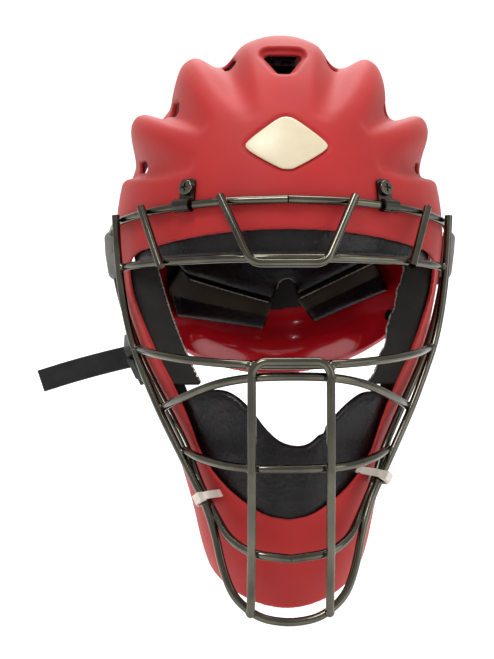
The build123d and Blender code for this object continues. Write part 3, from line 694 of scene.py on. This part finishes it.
def creases(x, y, z, size, seed=3):
    """Wandering ridge lines between 0 and 1, about size mm apart."""
    turns = np.random.default_rng(seed)
    total = 0
    for _ in range(4):
        d, e = turns.normal(size=3), turns.normal(size=3)
        d, e = d / np.linalg.norm(d), e / np.linalg.norm(e)
        slow = np.sin((e[0] * x + e[1] * y + e[2] * z) / (1.7 * size) + turns.uniform(0, 6))
        wave = np.sin((d[0] * x + d[1] * y + d[2] * z) / (0.55 * size) + 2.2 * slow)
        total = total + (1 - np.abs(wave)) ** 2
    return total / 4


def pad(outer, thick, region, rows=JAW, slim=0.35, reach=13.0, soft=3.5, crease=0.0, size=12.0):
    """The field of a pad whose skins lie outer and outer + thick under the head form."""
    def field(x, y, z):
        trim = region(x, y, z)
        t = np.clip(-trim / reach, 0, 1)
        full = thick * (1 - slim * (1 - np.sqrt(1 - (1 - t) ** 2)))
        if crease:
            full = full - crease * creases(x, y, z, size)
        depth = -head(x, y, z, rows)
        return meet(meet(outer - depth, depth - outer - full, soft), trim, soft)
    return field


def upholster(name, node, field, low, high, body, cover, step=2.0):
    """Cast a pad in place of a packed one."""
    piece = cast(name, field, low, high, step)
    wear(piece, cover)
    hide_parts(node)
    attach(piece, body)
    return piece


def box_region(x, y, z, low, high):
    """How far a place is outside a box."""
    far = -1e9
    for value, a, b in zip((x, y, z), low, high):
        far = np.maximum(far, np.maximum(a - value, value - b))
    return far


# %% [markdown]
# ### Brow pad
# The brow pad is a long leather roll that wraps round to both temples and shows as a dark, glossy
# band under the brow edge. The inner ends of the brow clips' screws stand in two small hollows.

# %% Brow pad
NUT_X, NUT_Z, NUT_CLEAR = 56.5, 82.0, 6.2   # the pad is cut away round the brow clips' nuts


def brow_region(x, y, z):
    nut = np.minimum(NUT_CLEAR - np.sqrt((np.abs(x) - NUT_X) ** 2 + (z - NUT_Z) ** 2), -84 - y)
    return np.maximum(box_region(x, y, z, (-98.5, -130, 41), (98.5, -46.2, 91.5)), nut)


upholster("brow_pad_cover", "brow_pad",
          pad(INSET, 12.6, brow_region, slim=0.45, reach=15, soft=5, crease=1.5, size=15),
          (-101, -118, 38), (101, -43, 94), "helmet", leather)

# %% [markdown]
# ### Cheek pads
# A cheek pad is a thick slab of foam laminated with dull fabric, cut with a knife: flat in front,
# with a clean front corner. The cut on the wearer's left wanders, as the real one does.

# %% Cheek pads
CHEEK = np.array([(-38.5, 42.5), (-50, 12), (-68.5, -30), (-71, -33.5), (-47, -34), (-46, -43),
                  (-27, -43), (-18.5, 0), (-20.5, 42.5)])


def cheek_region(sign):
    def region(x, y, z):
        return np.maximum(outline(CHEEK, y, z), 30 - sign * x)
    return region


def ragged(z):
    """The wandering cut of the left pad's inner edge, in mm."""
    return 1.8 * (ramp(z, -8, -4) - 0.5) + 0.5 * np.sin(z / 3.1) + 0.3 * np.sin(z / 1.3 + 1)


def cheek(sign):
    region = cheek_region(sign)

    def field(x, y, z):
        full = 16.0 + (ragged(z) if sign > 0 else 0)
        depth = -head(x, y, z) + 0.25 * creases(x, y, z, 26, 8)
        return meet(meet(INSET - depth, depth - INSET - full, 1.2), region(x, y, z), 1.2)
    return field


for side, sign in SIDES:
    ends = sorted((sign * 28, sign * 104))
    upholster("cheek_pad_cover_" + side, "cheek_pad_" + side, cheek(sign),
              (ends[0], -76, -46), (ends[1], -14, 46), "helmet", felt, 1.5)

# %% [markdown]
# ### Chin cup
# The chin cup is one thick leather pad in three parts: a rolled middle and a lobe on each side,
# divided by a crease where the cover is stitched down. Its rim is low in the middle.

# %% Chin cup
CUP = curve([(-66, -39), (-50, -36.5), (-39, -35), (-30, -38), (-21, -46), (-12, -57.5), (-3, -65),
             (8, -67), (16, -63), (26, -52), (37, -42), (48, -37), (66, -39)], 4)
CUP = np.vstack([CUP, [(66, -123.5), (-66, -123.5)]])
SEAM = [(20, -112), (25, -95), (27, -80), (23, -66), (20, -58)]


def seam_gap(x, z):
    """Distance to the stitched crease between the middle and a lobe."""
    best, u = 1e9, np.abs(x)
    for (a, b), (c, d) in zip(SEAM, SEAM[1:]):
        length = (c - a) ** 2 + (d - b) ** 2
        t = np.clip(((u - a) * (c - a) + (z - b) * (d - b)) / length, 0, 1)
        best = np.minimum(best, (u - a - t * (c - a)) ** 2 + (z - b - t * (d - b)) ** 2)
    return np.sqrt(best)


def chin_cup(x, y, z):
    trim = np.maximum(outline(CUP, x, z), np.maximum(y + 48.5, -127.5 - y))
    t = np.clip(-trim / 12, 0, 1)
    full = 16.6 * (1 - 0.42 * (1 - np.sqrt(1 - (1 - t) ** 2))) - 1.1 * creases(x, y, z, 17, 5)
    groove = 3.2 * np.exp(-(seam_gap(x, z) / 2.0) ** 2)
    depth = -head(x, y, z)
    return meet(meet(INSET - depth, depth - INSET - full + groove, 4), trim + 0.45 * groove, 5)


upholster("chin_cup_cover", "chin_cup_pad", chin_cup, (-64, -120, -127), (64, -46, -33),
          "helmet", leather, 1.6)

# %% [markdown]
# ### Crown, temple and rear pads
# The crown and temple pads carry the helmet's weight. The crown pad has two sewn channels. The
# rear pads are stuck to the back plate with hook-and-loop, so they sit at slightly different
# tilts, each with a brown felt face on its upper half.

# %% Crown pad
CROWN_INSET, CROWN_FOAM = 15.7, 11.6    # clear of the crown strap, and the foam's depth


def crown(x, y, z):
    channel = 3.0 * (np.exp(-(x / 2.2) ** 2) + np.exp(-((y + 24) / 2.2) ** 2))
    trim = box_region(x, y, z, (-35.5, -61.5, 110), (35.5, 13.5, 200))
    t = np.clip(-trim / 12, 0, 1)
    full = CROWN_FOAM * (1 - 0.4 * (1 - np.sqrt(1 - (1 - t) ** 2)))
    full = full - channel - 0.7 * creases(x, y, z, 14)
    depth = -head(x, y, z)
    return meet(meet(CROWN_INSET - depth, depth - CROWN_INSET - full, 4), trim, 5)


upholster("crown_pad_cover", "crown_pad", crown, (-38, -64, 130), (38, 16, 178), "helmet",
          leather)

# %% Temple pads
TEMPLE_INSET, TEMPLE_FOAM = 14.7, 10.6
TEMPLE = np.array([(-45.5, 70.5), (11.5, 70.5), (11.5, 115.5), (-39.5, 115.5)])
for side, sign in SIDES:
    def temple_region(x, y, z, sign=sign):
        return np.maximum(outline(TEMPLE, y, z), 30 - sign * x)
    ends = sorted((sign * 50, sign * 98))
    field = pad(TEMPLE_INSET, TEMPLE_FOAM, temple_region, slim=0.4, reach=11, soft=4, crease=0.6,
                size=13)
    upholster("temple_pad_cover_" + side, "temple_pad_" + side, field,
              (ends[0], -48, 68), (ends[1], 14, 118), "helmet", leather)

# %% Rear pads
REAR_INSET, REAR_FOAM = 10.4, 11.6      # under the form, so inside the plate, and the foam's depth
REAR = {
    "left": np.array([(17.5, 23), (30, 5.5), (78, 27), (71.5, 49)], float),
    "right": np.array([(-1.5, 20.5), (-63, 37.5), (-69, 44), (-76.5, 30), (-70.5, 9.5), (-8, 0.5)],
                      float),
}
UPPER = np.array([(-75, 50), (-66, 39.8), (-2, 22.6), (1.5, 28.5), (3.5, 34.5), (8, 37.5),
                  (12, 37.5), (16, 34.5), (17.5, 25.5), (72, 51.8), (74.5, 66), (70.5, 90),
                  (59.5, 111.5), (46, 127.5), (-46, 127.5), (-59.5, 111.5), (-70.5, 90),
                  (-74.5, 66)], float)


def rear_region(points, start):
    def region(x, y, z):
        return np.maximum(outline(points, x, z), start - y)
    return region


FELT_LINE = {"left": ((24, 14.5), (75, 39)), "right": ((-74, 24), (-3, 9.5))}   # felt above it
for side, points in REAR.items():
    ends = (15, 82) if side == "left" else (-80, 2)
    field = pad(REAR_INSET, REAR_FOAM, rear_region(points, 20), NAPE, slim=0.15, reach=5, soft=1.6)
    piece = upholster("rear_pad_cover_" + side, "rear_pad_" + side, field,
                      (ends[0], 18, -4), (ends[1], 112, 54), "rear", leather, 1.3)
    piece.data.materials.append(brown_felt)
    (low_x, low_z), (high_x, high_z) = FELT_LINE[side]
    slope = (high_z - low_z) / (high_x - low_x)
    for face in piece.data.polygons:
        x, y, z = face.center / MM
        face.material_index = int(z > low_z + slope * (x - low_x))

field = pad(REAR_INSET, REAR_FOAM, rear_region(UPPER, 45.5), NAPE, slim=0.3, reach=8, soft=2.5,
            crease=1.0, size=22)
upholster("rear_upper_pad_cover", "rear_upper_pad", field, (-78, 43, 20), (78, 112, 130),
          "rear", leather, 2.0)
print("pads done")

# %% [markdown]
# ### Raw edges
# Where laminated foam is cut with a knife, the pale foam shows between its cover and the fabric
# on its face. It is a fuzzy line about a millimetre wide, made here as a thin irregular bead laid
# along the corner of the pad.

# %% Pale beads along cut corners
def reach_skin(inset, rows, point, axis, low, high):
    """The point moved along one axis, between low and high, until it is inset under the form."""
    for _ in range(40):
        point[axis] = (low + high) / 2
        if head(*[np.float64(c) for c in point], rows) < -inset:
            low = point[axis]
        else:
            high = point[axis]
    return list(point)


def bead(name, points, radius, body, seed=1):
    """A thin fuzzy line of raw foam through the points."""
    chance = np.random.default_rng(seed)
    path = curve(points, 8)
    verts, faces = [], []
    for i, p in enumerate(path):
        ahead = path[min(i + 1, len(path) - 1)] - path[max(i - 1, 0)]
        ahead = ahead / np.linalg.norm(ahead)
        side = np.cross(ahead, (0.3, 1, 0.2))
        side = side / np.linalg.norm(side)
        up = np.cross(ahead, side)
        size = radius * np.clip(1 + 0.55 * chance.normal(), 0.45, 1.8)
        if i in (0, len(path) - 1):
            size = 0.05
        for a in np.arange(6) * pi / 3:
            verts.append(p + size * (side * cos(a) + up * sin(a)))
    for i in range(len(path) - 1):
        for j in range(6):
            a, b = 6 * i + j, 6 * i + (j + 1) % 6
            faces.append((a, b, b + 6, a + 6))
    piece = as_mesh(name, np.array(verts), np.array(faces))
    wear(piece, raw_edge)
    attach(piece, body)


# %% Lay the beads
for side, sign in SIDES:
    line = []
    for z in np.arange(41, -33, -2.5):
        y = float(np.interp(-z, [-43, -12, 30, 34], [-38, -50, -69, -72])) + 0.6
        inset = 20.0 + (ragged(z) if sign > 0 else 0)
        x, y, z = reach_skin(inset, JAW, [0.0, y, z], 0, 20.0, 105.0)
        line.append((sign * x, y, z))
    bead("cheek_pad_cut_edge_" + side, line, 0.42, "helmet", 4 + sign)
TOP_EDGE = {"left": ((17.5, 23), (71, 48.6)), "right": ((-2, 20.4), (-63, 37.2))}
for side, (p, q) in TOP_EDGE.items():
    line = []
    for t in np.linspace(0.03, 0.98, 14):
        x, z = p[0] + t * (q[0] - p[0]), p[1] + t * (q[1] - p[1]) - 0.5
        line.append(reach_skin(21.7, NAPE, [x, 0.0, z], 1, 40.0, 118.0))
    bead("rear_pad_cut_edge_" + side, line, 0.34, "rear", 9)
ARCH = [(2.2, 30.7), (4.0, 35.5), (8, 38.3), (12, 38.3), (15.6, 35.5)]
arch = [reach_skin(21.5, NAPE, [x, 0.0, z], 1, 40.0, 118.0) for x, z in ARCH]
bead("upper_pad_cut_edge", arch, 0.3, "rear", 12)
print("five pale edges laid")

# %% [markdown]
# ## Straps
# The straps are flat ribbed webbing: heavy cross threads that stand out as ribs, with a rounded
# selvedge on each side. Webbing is thin and flat, so a cloth simulation would add little. It is
# swept directly: a flat section carried along a line, whose thickness rises and falls with the
# ribs.

# %% Webbing finish
webbing = finish("webbing_black", (0.022, 0.022, 0.023), (0.012, 0.012, 0.013), 0.78,
                 drift=60, grain=2600, bump=0.5, depth=0.0003,
                 marks=(0.10, 0.095, 0.09), mark_share=0.80,
                 Specular_IOR_Level=0.2, Sheen_Weight=0.04, Sheen_Roughness=0.5)


# %% Sweeping a strap
RIB = 1.7       # from one rib to the next
SLICE = 0.42    # from one section to the next, a quarter of a rib


def strap(name, line, place, width=16.0, thick=1.8):
    """A ribbed strap along a line of (a, b); place turns (a, b, across) into a position."""
    path = curve(line, 10)
    steps = np.concatenate([[0], np.cumsum(np.linalg.norm(np.diff(path, axis=0), axis=1))])
    runs = np.linspace(0, steps[-1], int(steps[-1] / SLICE) + 2)
    a, b = (np.interp(runs, steps, path[:, i]) for i in (0, 1))
    da, db = np.gradient(a), np.gradient(b)
    size = np.hypot(da, db)
    na, nb = db / size, -da / size
    r = thick / 2
    flat = np.linspace(-width / 2 + r, width / 2 - r, 9)
    turns = np.linspace(pi / 2, -pi / 2, 5)[1:-1]
    ring = [(w, r) for w in flat] + [(flat[-1] + r * cos(t), r * sin(t)) for t in turns]
    ring += [(w, -r) for w in flat[::-1]]
    ring += [(flat[0] - r * cos(t), -r * sin(t)) for t in turns[::-1]]
    verts, faces = [], []
    for i, s in enumerate(runs):
        swell = 1 - 0.13 * (0.5 + 0.5 * cos(2 * pi * s / RIB)) ** 2
        if i in (0, len(runs) - 1):
            swell = 0.55
        for w, t in ring:
            verts.append(place(a[i] + na[i] * t * swell, b[i] + nb[i] * t * swell, w))
    n = len(ring)
    for i in range(len(runs) - 1):
        for j in range(n):
            p, q = n * i + j, n * i + (j + 1) % n
            faces.append((p, q, q + n, p + n))
    mesh = bpy.data.meshes.new(name)
    faces.append(tuple(range(n))[::-1])
    faces.append(tuple(range(n * (len(runs) - 1), n * len(runs))))
    mesh.from_pydata([Vector(v) * MM for v in verts], [], faces)
    mesh.polygons.foreach_set("use_smooth", [True] * (len(faces) - 2) + [False] * 2)
    tidy_up = bmesh.new()
    tidy_up.from_mesh(mesh)
    bmesh.ops.recalc_face_normals(tidy_up, faces=tidy_up.faces)
    tidy_up.to_mesh(mesh)
    tidy_up.free()
    piece = bpy.data.objects.new(name, mesh)
    scene.collection.objects.link(piece)
    wear(piece, webbing)
    print(name, round(steps[-1]), "mm long")
    return piece


# %% [markdown]
# Side straps, anchors and loose ends all lie on the helmet's flank, so they are drawn in flat
# coordinates: out of the flank, back along the strap, and across its width. A loose end swings on
# its buckle, so its hinge gives both the place and the direction across the strap.

# %% Coordinates on the flank
TAIL_OUT, TAIL_BACK = 3.9, 4.5      # where a loose end leaves its buckle
swing = next(j for j in frame["joints"] if j["name"] == "tail_left_swing")
ACROSS = Vector(swing["axis"]).normalized()
OUT = Vector((0.93028, 0.07995, -0.35803))      # square to the shell at the buckle
OUT = (OUT - ACROSS * OUT.dot(ACROSS)).normalized()
BACK = ACROSS.cross(OUT)
ROOT = Vector(swing["pos_m"]) / MM - OUT * TAIL_OUT - BACK * TAIL_BACK
print("the buckle stands at", [round(c, 1) for c in ROOT])


def flank(sign, tilt=0.0):
    """A placer on one flank. tilt turns a loose end about its root, in radians."""
    def place(out, back, across):
        u, w = out - TAIL_OUT, across
        u, w = u * cos(tilt) + w * sin(tilt), w * cos(tilt) - u * sin(tilt)
        p = ROOT + OUT * (u + TAIL_OUT) + BACK * back + ACROSS * w
        return (sign * p.x, p.y, p.z)
    return place


# %% Side straps and their anchors
SIDE_LINE = [(1.45, 0.6), (1.4, 10), (1.16, 20), (-6.08, 40), (-9.20, 52), (-13.53, 64)]
ANCHOR_LINE = [(-3.67, -40), (-1.12, -28), (0.9, -17.5), (1.55, -12.6), (3.2, -10.9), (5.4, -11.1),
               (6.75, -13.0), (6.3, -15.6), (4.6, -18.5), (2.6, -22.5), (1.5, -26)]
for side, sign in SIDES:
    side_strap = strap("side_strap_webbing_" + side, SIDE_LINE, flank(sign))
    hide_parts("side_strap_" + side)
    start, end = flank(sign)(1.3, 8, 0), flank(sign)(-6.5, 42, 0)
    [c * MM for c in start]
    [c * MM for c in end]
    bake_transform(side_strap)
    anchor = strap("anchor_webbing_" + side, ANCHOR_LINE, flank(sign), thick=1.7)
    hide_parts("strap_anchor_" + side)
    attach(anchor, "helmet")

# %% [markdown]
# The strap's loose end is tucked back along the strap on the wearer's left. On the wearer's right
# it has slipped out and stands away from the buckle with a slight droop and twist.

# %% Loose ends
FOLDED = [(TAIL_OUT, TAIL_BACK), (8.2, 5.0), (8.0, 13.5), (6.36, 24), (-0.68, 40), (-3.8, 52)]
FREE = [(TAIL_OUT + 16.25 * i, back) for i, back in enumerate((TAIL_BACK, 4.9, 4.4, 2.8, 0))]
for side, sign, line, tilt in (("left", 1, FOLDED, 0), ("right", -1, FREE, radians(-8))):
    tail = strap("strap_end_webbing_" + side, line, flank(sign, tilt))
    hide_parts("strap_tail_" + side)
    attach(tail, "tail_" + side)

# %% [markdown]
# The crown strap is a short wide band inside the helmet, riveted to the shell and to the plate.

# %% Crown strap
CROWN_STRAP = [(-4.9, back) for back in (8.5, 24, 40, 56, 71.5)]


def under_dome(out, back, across):
    """Across is X, back is Y, and out is how far under the dome's skin."""
    near = sqrt(1 - (across / (HALF_WIDTH + out)) ** 2 - (back / (REACH + out)) ** 2)
    return (across, back, DOME_Z + (DOME_HEIGHT + out) * near)


crown_strap = strap("crown_strap_webbing", CROWN_STRAP, under_dome, width=25.0, thick=1.7)
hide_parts("top_strap")
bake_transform(crown_strap)

# %% [markdown]
# ## Camera, light and floor
# The helmet is seen from straight in front at about arm's length, slightly turned so that it
# looks past the viewer's right shoulder. A real lens at that distance shows the near cage larger
# than the dome, so the camera stands at that distance rather than far off with a long lens.

# %% Camera
camera_data = bpy.data.cameras.new("camera")
camera_data.sensor_width = 36
camera_data.lens = 62.8
camera = bpy.data.objects.new("camera", camera_data)
scene.collection.objects.link(camera)
scene.camera = camera
turn, roll = radians(2.4), radians(0.2)
distance = 0.770
camera.location = (-distance * sin(turn), -distance * cos(turn), 0.0)
camera.rotation_mode = "XYZ"
aim = (Matrix.Rotation(-turn, 4, "Z") @ Matrix.Rotation(pi / 2, 4, "X")
       @ Matrix.Rotation(-roll, 4, "Z"))
camera.rotation_euler = aim.to_euler()
camera_data.shift_x = -0.0493       # the helmet hangs a little right of the middle
camera_data.clip_start, camera_data.clip_end = 0.01, 50
print("camera at", [round(c, 3) for c in camera.location])

# %% [markdown]
# Soft light comes from large panels above and on both sides, which suits matte plastic and still
# leaves long bright lines on the wires. One more panel lights only the paper behind the helmet.

# %% Light
def panel(name, place, size, power, target=(0, 0, 0.02)):
    """A square soft light that faces the helmet."""
    data = bpy.data.lights.new(name, "AREA")
    data.shape, data.size, data.energy = "SQUARE", size, power
    lamp = bpy.data.objects.new(name, data)
    scene.collection.objects.link(lamp)
    lamp.location = place
    lamp.rotation_euler = (Vector(target) - Vector(place)).to_track_quat("-Z", "Y").to_euler()


panel("key", (-0.5, -1.3, 1.5), 0.7, 17)
panel("fill", (1.6, -1.1, 0.5), 1.2, 7)
panel("top", (0.1, 0.4, 1.8), 1.4, 13)
panel("behind", (0.0, 1.4, 1.3), 1.2, 12)
panel("backdrop", (0.0, 0.5, 2.2), 1.6, 34, target=(0, 2.4, 0.3))
world = bpy.data.worlds.new("studio")
scene.world = world
world.use_nodes = True
surround = world.node_tree.nodes["Background"]
surround.inputs["Color"].default_value = (1, 1, 1, 1)
surround.inputs["Strength"].default_value = 0.55
scene.view_settings.view_transform = "Standard"
print(len(bpy.data.lights), "panels of light")

# %% [markdown]
# The floor is a sheet of white paper that curves up behind the helmet, so no line shows where it
# turns into the wall.

# %% Floor
FLOOR_Z, BEND_Y, BEND = -0.26, 0.3, 3.0     # its height, where it starts to rise, and how wide
profile = [(-4.0, FLOOR_Z), (BEND_Y, FLOOR_Z)]
for turned in range(4, 91, 4):
    rise = radians(turned)
    profile.append((BEND_Y + BEND * sin(rise), FLOOR_Z + BEND * (1 - cos(rise))))
profile.append((BEND_Y + BEND, 6.0))
paper = bpy.data.materials.new("floor_paper")
paper.use_nodes = True
shader = paper.node_tree.nodes["Principled BSDF"]
shader.inputs["Base Color"].default_value = (0.93, 0.93, 0.93, 1)
shader.inputs["Roughness"].default_value = 0.9
floor_mesh = bpy.data.meshes.new("floor")
verts = [(x, y, z) for y, z in profile for x in (-6, 6)]
faces = [(2 * i, 2 * i + 1, 2 * i + 3, 2 * i + 2) for i in range(len(profile) - 1)]
floor_mesh.from_pydata(verts, [], faces)
floor_mesh.polygons.foreach_set("use_smooth", [True] * len(faces))
floor = bpy.data.objects.new("floor", floor_mesh)
scene.collection.objects.link(floor)
floor_mesh.materials.append(paper)
